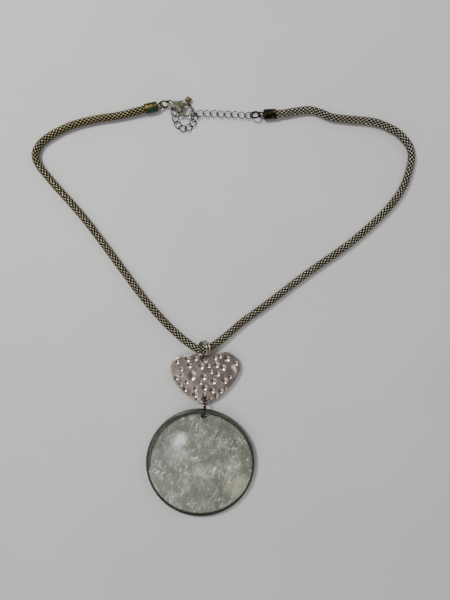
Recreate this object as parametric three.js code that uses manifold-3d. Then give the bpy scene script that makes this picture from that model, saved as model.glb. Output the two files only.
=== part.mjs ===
// Pendant necklace, lying fastened on a table: a knitted wire mesh chain with crimped end caps,
// a lobster clasp, a curb extender chain with a beaded head pin, and a hammered heart that
// carries a round shell disc. Millimetres, +X right, +Y up the loop, +Z away from the table.
import * as THREE from "three";
import { mergeVertices } from "three/addons/utils/BufferGeometryUtils.js";
import Module from "manifold-3d";

const wasm = await Module();
wasm.setup();

const necklace = new THREE.Group();
const GAP = 0.05;

const meshTube = { diameter: 3.7, sides: 8, steps: 72 };
const cap = { length: 5.4, outer: 4.5, bore: 4.0, height: 2.25, bevel: 0.12 };
const eye = { radius: 1.1, wire: 0.32, flange: 2.15, flangeDepth: 0.45, stem: 0.2 };
const jumpRing = { radius: 2.25, wire: 0.42 };
const bail = { radius: 3.7, wire: 0.43 };
const dropRing = { radius: 3.4, wire: 0.42 };
const link = { length: 4.1, width: 3.3, wire: 0.2, twist: 45 };
const pitch = { front: 3.22, tail: 3.0 };
const pin = { loop: 0.8, wire: 0.2, head: 0.5, reach: 6.3 };
const ball = { radius: 1.35, bore: 0.28 };
const heart = { x: -2.4, y: -32.4, bottom: 2.4, thickness: 1.0, bevel: 0.2 };
const disc = { x: -4.6, y: -71.3, radius: 25, tilt: 2.3, hole: 1.5, holeY: 22.5, holeX: 1.9 };
const layers = { backing: 1.8, inlay: 0.5, inlayRadius: 23.4, edge: 3.1, crown: 4.0 };
const clasp = { x: -10.9, y: 91.1, z: 2.25, heading: -20.5, lift: 7, opening: 2.15, outer: 3.3 };
const lever = { x: -3.45, y: -1.45, knuckle: 0.95, thickness: 0.8, pin: 0.38, bore: 0.45 };
const gate = { inner: 2.2, outer: 3.0, reach: 5.5, tip: -42 };
const nose = { angle: -34, reach: 5.62 };

const finish = {
  mesh: { color: 0x8c8674, roughness: 0.4, metalness: 1 },
  bronze: { color: 0x6b5f3e, roughness: 0.5, metalness: 0.9 },
  dark: { color: 0x3a3228, roughness: 0.4, metalness: 0.95 },
  silver: { color: 0xa39a90, roughness: 0.35, metalness: 1 },
  hammered: { color: 0x9a8c8a, roughness: 0.3, metalness: 1 },
  verdigris: { color: 0x7a7a5c, roughness: 0.5, metalness: 0.8 },
  resin: { color: 0x2c2e1e, roughness: 0.3, metalness: 0 },
  shell: { color: 0x9a9c8c, roughness: 0.3, metalness: 0.1 },
  clear: { color: 0xe8ebe2, roughness: 0.08, metalness: 0 },
};

function radians(degrees) {
  return THREE.MathUtils.degToRad(degrees);
}

function add(name, geometry, look, parent = necklace) {
  const mesh = new THREE.Mesh(geometry, new THREE.MeshStandardMaterial(finish[look]));
  mesh.name = name;
  parent.add(mesh);
  return mesh;
}

function solid(geometry) {
  const bare = geometry.clone();
  bare.deleteAttribute("normal");
  bare.deleteAttribute("uv");
  const merged = mergeVertices(bare, 1e-4);
  return new wasm.Manifold(
    new wasm.Mesh({
      numProp: 3,
      vertProperties: merged.attributes.position.array,
      triVerts: new Uint32Array(merged.index.array),
    }),
  );
}

function geometryOf(made) {
  const mesh = made.getMesh();
  return new THREE.BufferGeometry()
    .setAttribute("position", new THREE.BufferAttribute(mesh.vertProperties, 3))
    .setIndex(new THREE.BufferAttribute(mesh.triVerts, 1));
}

// A prism of a flat outline, centred on z = 0 with its edges eased.
function plate(shape, thickness, bevel, curveSegments = 12) {
  return new THREE.ExtrudeGeometry(shape, {
    depth: thickness - 2 * bevel,
    bevelEnabled: bevel > 0,
    bevelSize: bevel,
    bevelOffset: -bevel,
    bevelThickness: bevel,
    bevelSegments: 1,
    curveSegments,
  }).translate(0, 0, bevel - thickness / 2);
}

function circle(x, y, radius) {
  return new THREE.Path().absarc(x, y, radius, 0, 2 * Math.PI, true);
}

function post(x, y, radius, depth, sides = 16) {
  return new THREE.CylinderGeometry(radius, radius, depth, sides).rotateX(Math.PI / 2).translate(x, y, 0);
}

// ---- mesh chain -------------------------------------------------------------------------

// The route runs from inside the left cap, round the left shoulder, down to the bails, and up
// the right side to the right cap.
const route = [
  [-27.4, 92.35, 2.2],
  [-30.2, 91.7, 2.2],
  [-34.1, 90.7, 2.15],
  [-42.0, 88.9, 1.9],
  [-54.5, 86.9, 1.85],
  [-65.6, 83.8, 1.85],
  [-75.4, 78.6, 1.85],
  [-79.2, 75.1, 1.85],
  [-80.9, 71.0, 1.85],
  [-79.8, 66.6, 1.85],
  [-74.1, 59.2, 1.85],
  [-58.8, 41.7, 1.85],
  [-39.9, 16.5, 1.85],
  [-30.7, 4.2, 1.85],
  [-19.7, -8.2, 1.85],
  [-9.5, -16.9, 2.4],
  [-5.4, -19.1, 2.95],
  [-1.7, -19.1, 3.0],
  [1.6, -17.3, 2.9],
  [5.3, -14.7, 2.4],
  [15.3, -6.4, 1.85],
  [25.3, 0.9, 1.85],
  [45.4, 16.2, 1.85],
  [65.5, 30.5, 1.85],
  [82.4, 46.1, 1.85],
  [89.4, 56.0, 1.85],
  [92.9, 67.1, 1.85],
  [93.1, 71.2, 1.85],
  [92.1, 74.8, 1.85],
  [89.8, 78.0, 1.85],
  [86.5, 81.2, 1.85],
  [77.0, 85.6, 1.85],
  [62.1, 87.4, 1.85],
  [55.6, 88.3, 1.85],
  [50.8, 90.3, 1.85],
  [45.9, 91.5, 1.85],
  [38.5, 90.7, 1.9],
  [34.2, 89.9, 2.1],
  [30.4, 89.5, 2.2],
  [27.5, 89.35, 2.2],
];
const chainCurve = new THREE.CatmullRomCurve3(
  route.map((p) => new THREE.Vector3(...p)),
  false,
  "centripetal",
);

function polygonShape(radius, sides) {
  const corners = [];
  for (let i = 0; i < sides; i++) {
    const angle = ((i + 0.5) * 2 * Math.PI) / sides;
    corners.push(new THREE.Vector2(radius * Math.cos(angle), radius * Math.sin(angle)));
  }
  return new THREE.Shape(corners);
}

add(
  "mesh_chain",
  new THREE.ExtrudeGeometry(polygonShape(meshTube.diameter / 2, meshTube.sides), {
    extrudePath: chainCurve,
    steps: meshTube.steps,
    bevelEnabled: false,
  }),
  "mesh",
);

// ---- end caps ---------------------------------------------------------------------------

// Turned about +X: the mouth is at x = 0 and the closed end at x = length.
function capShell() {
  const profile = [
    [cap.bore / 2, 0],
    [cap.outer / 2 - cap.bevel, 0],
    [cap.outer / 2, cap.bevel],
    [cap.outer / 2, cap.length - cap.bevel],
    [cap.outer / 2 - cap.bevel, cap.length],
    [cap.bore / 2, cap.length],
    [cap.bore / 2, 0],
  ].map(([r, y]) => new THREE.Vector2(r, y));
  return new THREE.LatheGeometry(profile, 20).rotateZ(-Math.PI / 2);
}

// A flange that closes the cap, with a loop standing off it, rolled about the cap's axis.
function capEye(roll) {
  const reach = eye.flangeDepth + eye.stem + eye.radius;
  const flange = new THREE.CylinderGeometry(eye.flange, eye.flange, eye.flangeDepth, 20)
    .rotateZ(-Math.PI / 2)
    .translate(eye.flangeDepth / 2, 0, 0);
  const stem = new THREE.CylinderGeometry(0.4, 0.4, eye.stem + 0.2, 10)
    .rotateZ(-Math.PI / 2)
    .translate(eye.flangeDepth + eye.stem / 2, 0, 0);
  const loop = new THREE.TorusGeometry(eye.radius, eye.wire, 8, 18).translate(reach, 0, 0);
  return geometryOf(solid(flange).add(solid(stem)).add(solid(loop))).rotateX(radians(roll));
}

function endCap(side, x, y, heading, roll, look) {
  const frame = new THREE.Group();
  frame.position.set(x, y, cap.height);
  frame.rotation.z = radians(heading);
  necklace.add(frame);
  add(`${side}_end_cap`, capShell(), look, frame);
  add(`${side}_cap_eye`, capEye(roll).translate(cap.length + GAP, 0, 0), look, frame);
}

endCap("left", -30.2, 91.7, 13.1, 0, "bronze");
endCap("right", 30.4, 89.5, 182.6, -50, "bronze");

// ---- round rings ------------------------------------------------------------------------

// The ring's own plane turns by its Euler angles, given in degrees and applied X, then Y, then Z.
function ring(name, size, place, turn, look) {
  const geometry = new THREE.TorusGeometry(size.radius, size.wire, 8, 24);
  const made = add(name, geometry, look);
  made.position.set(...place);
  made.rotation.set(...turn.map(radians), "ZYX");
  return made;
}

ring("left_jump_ring", jumpRing, [-20.92, 93.7, 2.92], [80, -4, 2.5], "dark");
ring("right_jump_ring", jumpRing, [20.74, 89.17, 1.96], [-34, -7, 0], "dark");
ring("bail_ring_left", bail, [-3.3, -19.3, 3.6], [58, 0, 275], "silver");
ring("bail_ring_right", bail, [-2.15, -19.05, 3.5], [54.5, 0, 273], "silver");
ring("disc_ring", dropRing, [-2.6, -45.25, 3.85], [0, 90, 0], "dark");

// ---- heart ------------------------------------------------------------------------------

const heartOutline = [
  [-15.8, 5.0],
  [-13.6, 9.1],
  [-9.5, 10.4],
  [-1.9, 11.4],
  [3.7, 10.9],
  [9.7, 12.0],
  [13.9, 10.2],
  [16.1, 4.9],
  [13.9, -0.7],
  [10.4, -5.1],
  [5.7, -9.2],
  [-1.6, -11.7],
  [-8.9, -7.7],
  [-13.9, -2.2],
];
const heartHoles = { topX: -0.5, topY: 9.1, top: 1.6, bottomX: -0.2, bottomY: -9.6, bottom: 1.15 };

function heartPlate() {
  const curve = new THREE.CatmullRomCurve3(
    heartOutline.map(([x, y]) => new THREE.Vector3(x, y, 0)),
    true,
    "centripetal",
  );
  const edge = curve.getPoints(56).slice(0, -1);
  const shape = new THREE.Shape(edge.reverse().map((p) => new THREE.Vector2(p.x, p.y)));
  shape.holes.push(circle(heartHoles.topX, heartHoles.topY, heartHoles.top));
  shape.holes.push(circle(heartHoles.bottomX, heartHoles.bottomY, heartHoles.bottom));
  return plate(shape, heart.thickness, heart.bevel);
}

add("heart_plate", heartPlate(), "hammered").position.set(
  heart.x,
  heart.y,
  heart.bottom + heart.thickness / 2,
);

// ---- shell disc -------------------------------------------------------------------------

// The disc's lower edge rests on the table and its pierced edge on the drop ring.
const discFrame = new THREE.Group();
discFrame.position.set(disc.x, disc.y, disc.radius * Math.sin(radians(disc.tilt)));
discFrame.rotation.x = radians(disc.tilt);
necklace.add(discFrame);

function turned(profile) {
  const points = profile.map(([r, z]) => new THREE.Vector2(r, z));
  return solid(new THREE.LatheGeometry(points, 56).rotateX(Math.PI / 2));
}

function pierced(made, radius) {
  const drill = solid(post(disc.holeX, disc.holeY, radius, 20));
  return geometryOf(made.subtract(drill));
}

const inlayBase = layers.backing + GAP;
const inlayTop = inlayBase + layers.inlay;
const inlayLip = layers.inlayRadius + GAP;

const backing = turned([
  [0, 0],
  [disc.radius - 0.5, 0],
  [disc.radius, 0.5],
  [disc.radius, layers.backing],
  [0, layers.backing],
]);
const inlay = turned([
  [0, inlayBase],
  [layers.inlayRadius, inlayBase],
  [layers.inlayRadius, inlayTop],
  [0, inlayTop],
]);
const dome = turned([
  [0, inlayTop + GAP],
  [inlayLip, inlayTop + GAP],
  [inlayLip, inlayBase],
  [disc.radius - 0.05, inlayBase],
  [disc.radius - 0.05, layers.edge - 0.5],
  [disc.radius - 0.6, layers.edge],
  [disc.radius * 0.8, layers.edge + 0.4],
  [disc.radius * 0.5, layers.crown - 0.2],
  [0, layers.crown],
]);
add("disc_backing", pierced(backing, disc.hole), "resin", discFrame);
add("shell_inlay", pierced(inlay, disc.hole), "shell", discFrame);
add("clear_dome", pierced(dome, disc.hole), "clear", discFrame);

// ---- lobster clasp ----------------------------------------------------------------------

// The clasp's frame has its origin at the middle of the hook's opening, +X toward the hook's
// nose and the eye on -X, and is lifted at the eye because the extender's tail runs below it.
const claspFrame = new THREE.Group();
claspFrame.position.set(clasp.x, clasp.y, clasp.z);
claspFrame.rotation.set(0, radians(clasp.lift), radians(clasp.heading), "ZYX");
necklace.add(claspFrame);

const claspEye = { x: -8.3, outer: 1.6, hole: 0.95, thickness: 1.0 };

function hookShape() {
  const shape = new THREE.Shape();
  shape.absarc(-0.35, 0.15, clasp.outer, radians(nose.angle), radians(165), false);
  shape.absarc(0, 0, clasp.opening, radians(165), radians(nose.angle), true);
  shape.closePath();
  return shape;
}

function bodyShape() {
  const shape = new THREE.Shape();
  shape.moveTo(-7.4, 1.2);
  shape.quadraticCurveTo(-4.8, 2.4, -2.6, 2.55);
  shape.lineTo(-1.4, 1.0);
  shape.lineTo(-1.9, -1.0);
  shape.lineTo(-2.6, -2.4);
  shape.quadraticCurveTo(-4.3, -2.9, -4.8, -1.6);
  shape.lineTo(-7.4, -1.2);
  shape.closePath();
  return shape;
}

// The pocket for the lever's knuckle, open downward and into the hook's opening.
function pocketShape() {
  const shape = new THREE.Shape();
  shape.moveTo(lever.x - 0.95, lever.y + 0.95);
  shape.lineTo(lever.x + 0.9, lever.y + 1.5);
  shape.lineTo(2, 1.4);
  shape.lineTo(2, -5);
  shape.lineTo(lever.x - 1.2, -5);
  shape.lineTo(lever.x - 1.2, lever.y + 0.3);
  shape.closePath();
  return shape;
}

function claspBody() {
  const ear = new THREE.Shape().absarc(claspEye.x, 0, claspEye.outer, 0, 2 * Math.PI, false);
  const lobe = new THREE.Shape().absarc(lever.x, lever.y, 1.2, 0, 2 * Math.PI, false);
  const mass = solid(plate(bodyShape(), 2.0, 0.25, 6))
    .add(solid(plate(lobe, 2.0, 0.25, 8)))
    .subtract(solid(post(0, 0, clasp.opening, 6, 28)))
    .subtract(solid(plate(pocketShape(), lever.thickness + 0.2, 0)));
  const sweep = solid(post(lever.x, lever.y, nose.reach, 6, 64));
  const noseCut = sweep.intersect(solid(new THREE.BoxGeometry(3, 2.4, 6).translate(2.6, -1.9, 0)));
  const made = solid(plate(hookShape(), 1.2, 0.3, 14))
    .subtract(noseCut)
    .add(mass)
    .add(solid(plate(ear, claspEye.thickness, 0.2, 9)))
    .subtract(solid(post(claspEye.x, 0, claspEye.hole, 6)))
    .subtract(solid(post(lever.x, lever.y, lever.bore, 6)));
  return geometryOf(made);
}

function leverShape() {
  const shape = new THREE.Shape();
  shape.absarc(0, 0, gate.outer, radians(-150), radians(gate.tip), false);
  shape.absarc(0, 0, gate.inner, radians(gate.tip), radians(-150), true);
  shape.closePath();
  return shape;
}

function thumbShape() {
  const shape = new THREE.Shape();
  shape.moveTo(-2.6, -1.6);
  shape.lineTo(-2.9, -3.7);
  shape.quadraticCurveTo(-2.3, -4.3, -1.7, -3.7);
  shape.lineTo(-1.1, -2.3);
  shape.closePath();
  return shape;
}

function claspLever() {
  const knuckle = new THREE.Shape().absarc(lever.x, lever.y, lever.knuckle, 0, 2 * Math.PI, false);
  const made = solid(plate(leverShape(), lever.thickness, 0, 14))
    .intersect(solid(post(lever.x, lever.y, gate.reach, 6, 64)))
    .add(solid(plate(knuckle, lever.thickness, 0, 8)))
    .add(solid(plate(thumbShape(), lever.thickness, 0, 6)))
    .subtract(solid(post(lever.x, lever.y, lever.bore, 6)));
  return geometryOf(made);
}

add("clasp_body", claspBody(), "verdigris", claspFrame);
add("clasp_lever", claspLever(), "verdigris", claspFrame);
add("clasp_pivot_pin", post(lever.x, lever.y, lever.pin, 2.1), "silver", claspFrame);

// ---- curb chain -------------------------------------------------------------------------

// The centre line of a curb link: an oval whose two ends are twisted opposite ways.
class TwistedOval extends THREE.Curve {
  constructor(half, side, twist) {
    super();
    Object.assign(this, { half, side, twist });
  }
  getPoint(t, target = new THREE.Vector3()) {
    const angle = t * 2 * Math.PI;
    const turn = radians(this.twist) * Math.cos(angle);
    const across = this.side * Math.sin(angle);
    return target.set(this.half * Math.cos(angle), across * Math.cos(turn), across * Math.sin(turn));
  }
}

const half = link.length / 2 - link.wire;
const side = link.width / 2 - link.wire;
const linkSlack = half - pitch.tail / 2;
const linkGeometry = new THREE.TubeGeometry(
  new TwistedOval(half, side, link.twist),
  16,
  link.wire,
  6,
  true,
);

// Headings are in degrees in the table's plane, rise is the climb along the link, and roll turns
// the link about its own length.
function chainLink(name, place, heading, rise = 0, roll = 0) {
  const made = add(name, linkGeometry.clone(), "dark");
  made.position.set(...place);
  made.rotation.set(radians(roll), -radians(rise), radians(heading), "ZYX");
  return made;
}

// Lays links end to end from a start point. Each step is [heading, rise, roll], and the start
// point is where the link before it holds the first one.
function layChain(names, start, spacing, steps) {
  const at = new THREE.Vector3(...start);
  names.forEach((name, i) => {
    const [heading, rise, roll] = steps[i];
    const way = new THREE.Vector3(1, 0, 0)
      .applyEuler(new THREE.Euler(0, -radians(rise), radians(heading), "ZYX"))
      .multiplyScalar(spacing / 2);
    at.add(way);
    chainLink(name, at.toArray(), heading, rise, roll);
    at.add(way);
  });
  return at;
}

const frontNames = [8, 7, 6, 5, 4, 3, 2, 1].map((n) => `front_link_${n}`);
const frontSteps = [
  [178, -2, 0],
  [176, 0, 0],
  [176, 0, 0],
  [178, 0, 0],
  [177, 0, 0],
  [178, 0, 0],
  [181, 3, 0],
  [177, 0, 0],
];
const frontStart = [19.17, 89.02, 1.52];
layChain(frontNames, frontStart, pitch.front, frontSteps);

chainLink("engaged_link", [-7.91, 89.81, 1.93], 174.3, -12, -74);

const tailNames = [1, 2, 3, 4, 5, 6, 7, 8].map((n) => `tail_link_${n}`);
const tailSteps = [
  [266, -3.5, -18],
  [242, 0, 0],
  [207, 0, 0],
  [165, 0, 0],
  [119, 0, 0],
  [101, 0, 0],
  [101, 0, 0],
  [79, 0, 0],
];
const tailStart = [-7.26, 89.95, 1.08];
const tailEnd = layChain(tailNames, tailStart, pitch.tail, tailSteps);

// ---- head pin and end ball --------------------------------------------------------------

// The pin's loop hangs on the last link, and its shank runs along +X through the ball.
function headPin() {
  const shankStart = pin.loop * 2 - linkSlack - 0.1;
  const shankEnd = pin.reach + ball.radius + 0.1;
  const loop = new THREE.TorusGeometry(pin.loop, pin.wire, 8, 16)
    .rotateX(radians(-45))
    .translate(pin.loop - linkSlack, 0, 0);
  const shank = new THREE.CylinderGeometry(pin.wire, pin.wire, shankEnd - shankStart, 8)
    .rotateZ(-Math.PI / 2)
    .translate((shankStart + shankEnd) / 2, 0, 0);
  const head = new THREE.CylinderGeometry(pin.head, pin.head, 0.3, 10)
    .rotateZ(-Math.PI / 2)
    .translate(shankEnd + 0.1, 0, 0);
  return geometryOf(solid(loop).add(solid(shank)).add(solid(head)));
}

function endBall() {
  const drill = post(0, 0, ball.bore, 2 * ball.radius + 1, 10).rotateY(Math.PI / 2);
  const bead = solid(new THREE.SphereGeometry(ball.radius, 20, 12)).subtract(solid(drill));
  return geometryOf(bead).translate(pin.reach, 0, 0);
}

const pinFrame = new THREE.Group();
pinFrame.position.copy(tailEnd);
pinFrame.rotation.set(0, radians(-4.7), radians(11), "ZYX");
necklace.add(pinFrame);
add("head_pin", headPin(), "dark", pinFrame);
add("end_ball", endBall(), "silver", pinFrame);

export default necklace;
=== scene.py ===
import math

import bmesh
import bpy
import numpy as np
from mathutils import Euler, Matrix, Vector


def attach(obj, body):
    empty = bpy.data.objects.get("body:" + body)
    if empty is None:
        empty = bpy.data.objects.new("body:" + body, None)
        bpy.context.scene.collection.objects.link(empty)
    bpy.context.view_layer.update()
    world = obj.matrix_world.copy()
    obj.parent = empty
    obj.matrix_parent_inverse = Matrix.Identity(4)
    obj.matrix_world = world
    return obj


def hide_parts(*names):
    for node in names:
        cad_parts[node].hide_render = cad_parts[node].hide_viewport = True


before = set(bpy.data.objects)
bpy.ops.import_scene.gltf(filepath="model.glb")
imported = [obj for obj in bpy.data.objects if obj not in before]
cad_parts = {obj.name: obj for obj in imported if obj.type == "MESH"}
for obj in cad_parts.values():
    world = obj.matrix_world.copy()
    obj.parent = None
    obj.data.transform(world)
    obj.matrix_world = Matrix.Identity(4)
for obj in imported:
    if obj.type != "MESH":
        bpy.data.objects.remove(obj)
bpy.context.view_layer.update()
scene = bpy.context.scene
mm = 0.001
rng = np.random.default_rng(11)


# small helpers: colour, nodes, meshes and placing

def linearColour(text):
    # an sRGB hex value as linear red, green, blue and full alpha
    parts = [int(text[i : i + 2], 16) / 255 for i in (1, 3, 5)]
    linear = [p / 12.92 if p <= 0.04045 else ((p + 0.055) / 1.055) ** 2.4 for p in parts]
    return (*linear, 1.0)


def perMetre(millimetres):
    return 1000.0 / millimetres  # texture scale for a feature of this size


def addNode(tree, kind, inputs=None, stops=None, **settings):
    made = tree.nodes.new("ShaderNode" + kind)
    for key, value in settings.items():
        setattr(made, key, value)
    if stops:
        elements = made.color_ramp.elements
        elements[0].position, elements[1].position = stops[0][0], stops[-1][0]
        for position, _ in stops[1:-1]:
            elements.new(position)
        for element, (_, colour) in zip(elements, stops):
            element.color = linearColour(colour)
    for key, value in (inputs or {}).items():
        if isinstance(value, bpy.types.NodeSocket):
            tree.links.new(value, made.inputs[key])
        else:
            made.inputs[key].default_value = value
    return made


def newMaterial(name, settings):
    made = bpy.data.materials.new(name)
    made.use_nodes = True
    shader = made.node_tree.nodes["Principled BSDF"]
    for key, value in settings.items():
        shader.inputs[key].default_value = value
    return made, made.node_tree, shader


def buildMesh(name, verts, faces, attributes=None):
    mesh = bpy.data.meshes.new(name)
    mesh.from_pydata(np.asarray(verts, dtype=float).tolist(), [], [list(map(int, f)) for f in faces])
    for key, values in (attributes or {}).items():
        layer = mesh.attributes.new(key, "FLOAT", "POINT")
        layer.data.foreach_set("value", np.asarray(values, dtype=np.float32))
    mesh.validate()
    mesh.shade_smooth()
    made = bpy.data.objects.new(name, mesh)
    scene.collection.objects.link(made)
    return made


def finishPiece(piece, material, body, replaced=()):
    piece.data.materials.clear()
    for entry in material if isinstance(material, (list, tuple)) else [material]:
        piece.data.materials.append(entry)
    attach(piece, body)
    if replaced:
        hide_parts(*replaced)
    return piece


def sharpen(piece, degrees):
    piece.data.set_sharp_from_angle(angle=math.radians(degrees))
    return piece


def placing(place, turn):
    # place in millimetres, turn in degrees applied about X, then Y, then Z
    return Matrix.Translation(Vector(place) * mm) @ Euler(
        [math.radians(a) for a in turn], "XYZ"
    ).to_matrix().to_4x4()


def moved(matrix, points):
    # points in millimetres to the necklace's frame in metres
    grid = np.array(matrix)
    return np.asarray(points, dtype=float) * mm @ grid[:3, :3].T + grid[:3, 3]


def smoothRoute(points, steps, closed=False):
    # a centripetal curve through the points
    p = np.array(points, dtype=float)
    if closed:
        p = np.vstack([p[-1], p, p[0], p[1]])
    else:
        p = np.vstack([2 * p[0] - p[1], p, 2 * p[-1] - p[-2]])
    out = []
    t = np.linspace(0, 1, steps, endpoint=False)[:, None]
    for a, b, c, d in zip(p[:-3], p[1:-2], p[2:-1], p[3:]):
        s0, s1, s2 = (math.sqrt(np.linalg.norm(y - x)) for x, y in ((a, b), (b, c), (c, d)))
        m1 = ((b - a) / s0 - (c - a) / (s0 + s1) + (c - b) / s1) * s1
        m2 = ((c - b) / s1 - (d - b) / (s1 + s2) + (d - c) / s2) * s1
        out.append(b + m1 * t + (-3 * b + 3 * c - 2 * m1 - m2) * t**2 + (2 * b - 2 * c + m1 + m2) * t**3)
    whole = np.vstack(out)
    return whole if closed else np.vstack([whole, p[-2]])


def evenSteps(points, spacing):
    lengths = np.concatenate([[0], np.cumsum(np.linalg.norm(np.diff(points, axis=0), axis=1))])
    stations = np.linspace(0, lengths[-1], int(round(lengths[-1] / spacing)) + 1)
    return np.column_stack([np.interp(stations, lengths, points[:, i]) for i in range(3)]), stations


def carriedFrames(points, closed=False):
    # two unit vectors across the line at each point, carried along without twisting
    if closed:
        ahead = np.roll(points, -1, axis=0) - np.roll(points, 1, axis=0)
    else:
        ahead = np.gradient(points, axis=0)
    ahead /= np.linalg.norm(ahead, axis=1)[:, None]
    seed = np.array([0, 0, 1.0]) if abs(ahead[0][2]) < 0.9 else np.array([1.0, 0, 0])
    across = [np.cross(seed, ahead[0]) / np.linalg.norm(np.cross(seed, ahead[0]))]
    for way in ahead[1:]:
        side = across[-1] - way * np.dot(across[-1], way)
        across.append(side / np.linalg.norm(side))
    across = np.array(across)
    return ahead, across, np.cross(ahead, across)


def wireAlong(points, radius, sides, closed=True):
    # a round wire along a line of points; radius is one number or one for each point
    points = np.asarray(points, dtype=float)
    ahead, across, up = carriedFrames(points, closed)
    count = len(points)
    drift = 0.0
    if closed:  # spreads the frame's closing error round the loop
        back = across[-1] - ahead[0] * np.dot(across[-1], ahead[0])
        drift = math.atan2(np.dot(back, up[0]), np.dot(back, across[0]))
    radii = np.broadcast_to(np.asarray(radius, dtype=float), (count,))
    rows = []
    for i in range(count):
        angle = 2 * math.pi * np.arange(sides) / sides - drift * i / count
        rows.append(
            points[i] + radii[i] * (np.cos(angle)[:, None] * across[i] + np.sin(angle)[:, None] * up[i])
        )
    verts = np.vstack(rows)
    faces = []
    for i in range(count if closed else count - 1):
        j = (i + 1) % count
        for k in range(sides):
            m = (k + 1) % sides
            faces.append((i * sides + k, i * sides + m, j * sides + m, j * sides + k))
    if not closed:
        faces.append(tuple(range(sides))[::-1])
        faces.append(tuple((count - 1) * sides + k for k in range(sides)))
    return verts, faces


def turnedForm(profile, sides):
    # profile of (along X, radius) pairs; a first or last radius of 0 closes that end
    verts, faces, rows = [], [], []
    for along, radius in profile:
        if radius <= 1e-6:
            rows.append([len(verts)] * sides)
            verts.append((along, 0, 0))
            continue
        rows.append(list(range(len(verts), len(verts) + sides)))
        for k in range(sides):
            angle = 2 * math.pi * k / sides
            verts.append((along, radius * math.cos(angle), radius * math.sin(angle)))
    for a, b in zip(rows[:-1], rows[1:]):
        for k in range(sides):
            m = (k + 1) % sides
            loop = [a[k], a[m], b[m], b[k]]
            faces.append(tuple(dict.fromkeys(loop)))
    return np.array(verts), faces


def joined(*forms):
    verts, faces, base = [], [], 0
    for v, f in forms:
        verts.append(v)
        faces += [tuple(i + base for i in face) for face in f]
        base += len(v)
    return np.vstack(verts), faces


def faceOut(piece):
    form = bmesh.new()
    form.from_mesh(piece.data)
    bmesh.ops.recalc_face_normals(form, faces=form.faces)
    form.to_mesh(piece.data)
    form.free()
    return piece


def applied(piece):
    # bakes the piece's modifiers into its mesh
    view = bpy.context.evaluated_depsgraph_get()
    mesh = bpy.data.meshes.new_from_object(piece.evaluated_get(view))
    piece.modifiers.clear()
    piece.data = mesh
    return piece


def drilled(piece, matrix, holes):
    # holes of (x, y, radius) along the matrix's Z, in millimetres
    for x, y, radius in holes:
        form = bmesh.new()
        bmesh.ops.create_cone(
            form, cap_ends=True, segments=48, radius1=radius * mm, radius2=radius * mm, depth=0.03
        )
        mesh = bpy.data.meshes.new("drill")
        form.to_mesh(mesh)
        form.free()
        mesh.transform(matrix @ Matrix.Translation(Vector((x, y, 0)) * mm))
        drill = bpy.data.objects.new("drill", mesh)
        scene.collection.objects.link(drill)
        cut = piece.modifiers.new("hole", "BOOLEAN")
        cut.object, cut.operation, cut.solver = drill, "DIFFERENCE", "EXACT"
        applied(piece)
        bpy.data.objects.remove(drill)
    return piece


# place in millimetres, straight above the table; lens and sensor in millimetres
camera = {"place": (6.8, 3.5, 210.0), "lens": 26.98, "sensor": 36.0}
cameraData = bpy.data.cameras.new("camera")
cameraData.sensor_width = camera["sensor"]
cameraData.lens = camera["lens"]
cameraData.clip_start = 0.005
cameraData.clip_end = 20
cameraObject = bpy.data.objects.new("camera", cameraData)
cameraObject.location = Vector(camera["place"]) * mm
scene.collection.objects.link(cameraObject)
scene.camera = cameraObject


def tarnishedWireMaterial():
    # knitted plated wire: rubbed silver where strands cross on top, olive and black where they dip; the same
    # ramp paints highlight on the crossing tops and shade in the dips and on the wires' inner faces
    made, tree, shader = newMaterial("tarnished plated wire, knitted", {"Metallic": 0.8, "Roughness": 0.38})
    place = addNode(tree, "TexCoord").outputs["Object"]
    lift = addNode(tree, "Attribute", attribute_name="lift").outputs["Fac"]
    along = addNode(tree, "Attribute", attribute_name="along").outputs["Fac"]
    patches = addNode(
        tree, "TexNoise", {"Vector": place, "Scale": perMetre(9.0), "Detail": 3.0}
    ).outputs["Fac"]
    specks = addNode(
        tree, "TexNoise", {"Vector": place, "Scale": perMetre(0.8), "Detail": 2.0}
    ).outputs["Fac"]
    # painted highlight and shade over the rubbed wear: near white where the wire is highest and faces out,
    # near black in the dips and on its inner faces
    warm = addNode(
        tree, "ValToRGB", {"Fac": lift},
        [(0.3, "#080704"), (0.53, "#3a2f10"), (0.74, "#86763f"), (0.93, "#e4dcc2")],
    )
    cool = addNode(
        tree, "ValToRGB", {"Fac": lift},
        [(0.3, "#090806"), (0.55, "#352f20"), (0.74, "#948d78"), (0.93, "#fbf8f1")],
    )
    ends = addNode(tree, "ValToRGB", {"Fac": along}, [(0.0, "#ffffff"), (0.5, "#909090"), (1.0, "#101010")])
    base = addNode(
        tree, "Mix",
        {"Factor": ends.outputs["Color"], "A": cool.outputs["Color"], "B": warm.outputs["Color"]},
        data_type="RGBA",
    )
    brown = addNode(tree, "ValToRGB", {"Fac": patches}, [(0.35, "#000000"), (0.75, "#9a9a9a")])
    aged = addNode(
        tree, "Mix",
        {"Factor": brown.outputs["Color"], "A": base.outputs["Result"], "B": linearColour("#6b5f3f")},
        data_type="RGBA",
    )
    tree.links.new(aged.outputs["Result"], shader.inputs["Base Color"])
    rough = addNode(tree, "MapRange", {"Value": specks, "To Min": 0.32, "To Max": 0.5}).outputs["Result"]
    tree.links.new(rough, shader.inputs["Roughness"])
    return made


def paintedShadeCoreMaterial():
    # painted shade: a nearly black lining standing in for the shadowed hollow inside the knitted tube,
    # mottled for dull gleams of wire
    made, tree, shader = newMaterial("tube inside, in shade", {"Roughness": 0.9, "Specular IOR Level": 0.2})
    place = addNode(tree, "TexCoord").outputs["Object"]
    grain = addNode(tree, "TexNoise", {"Vector": place, "Scale": perMetre(0.6)}).outputs["Fac"]
    tone = addNode(tree, "ValToRGB", {"Fac": grain}, [(0.4, "#030302"), (0.8, "#0c0a07")])
    tree.links.new(tone.outputs["Color"], shader.inputs["Base Color"])
    return made


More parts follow.
